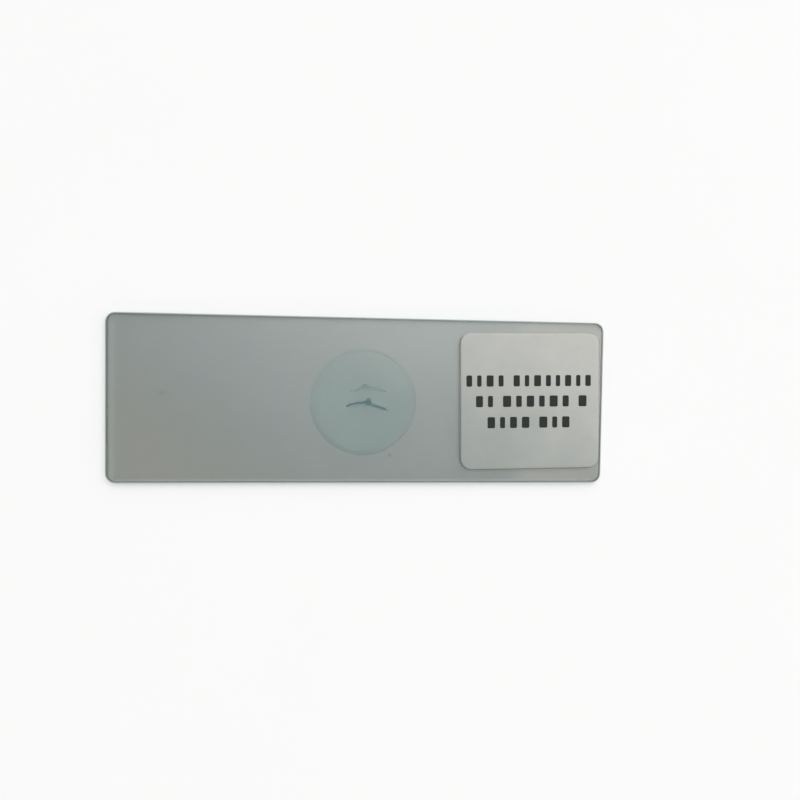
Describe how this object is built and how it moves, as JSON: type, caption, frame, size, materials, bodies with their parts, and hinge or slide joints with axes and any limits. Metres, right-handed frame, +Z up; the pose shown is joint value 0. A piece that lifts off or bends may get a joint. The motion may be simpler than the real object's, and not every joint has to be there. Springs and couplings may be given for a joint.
{
  "type": "microscope slide",
  "caption": "Glass microscope slide with a round cover glass over leaf peels in tinted resin and an almost square off-white paper label near one end.",
  "frame": {"origin": "under the centre of the slide, on the face that rests on the stage", "axes": "+X along the slide towards the label, +Y across the slide, +Z up out of the face that carries the cover glass"},
  "size_m": [0.0762, 0.0254, 0.0013],
  "materials": {
    "slide_glass": "polished",
    "cover_glass": "polished",
    "resin": "gloss",
    "leaf": "matte",
    "label_paper": "matte",
    "label_ink": "matte"
  },
  "bodies": {
    "root": {"glass_slide": "slide_glass", "mounting_medium": "resin", "cover_glass": "cover_glass", "lower_leaf_peel": "leaf", "upper_leaf_peel": "leaf", "paper_label": "label_paper"}
  },
  "joints": []
}
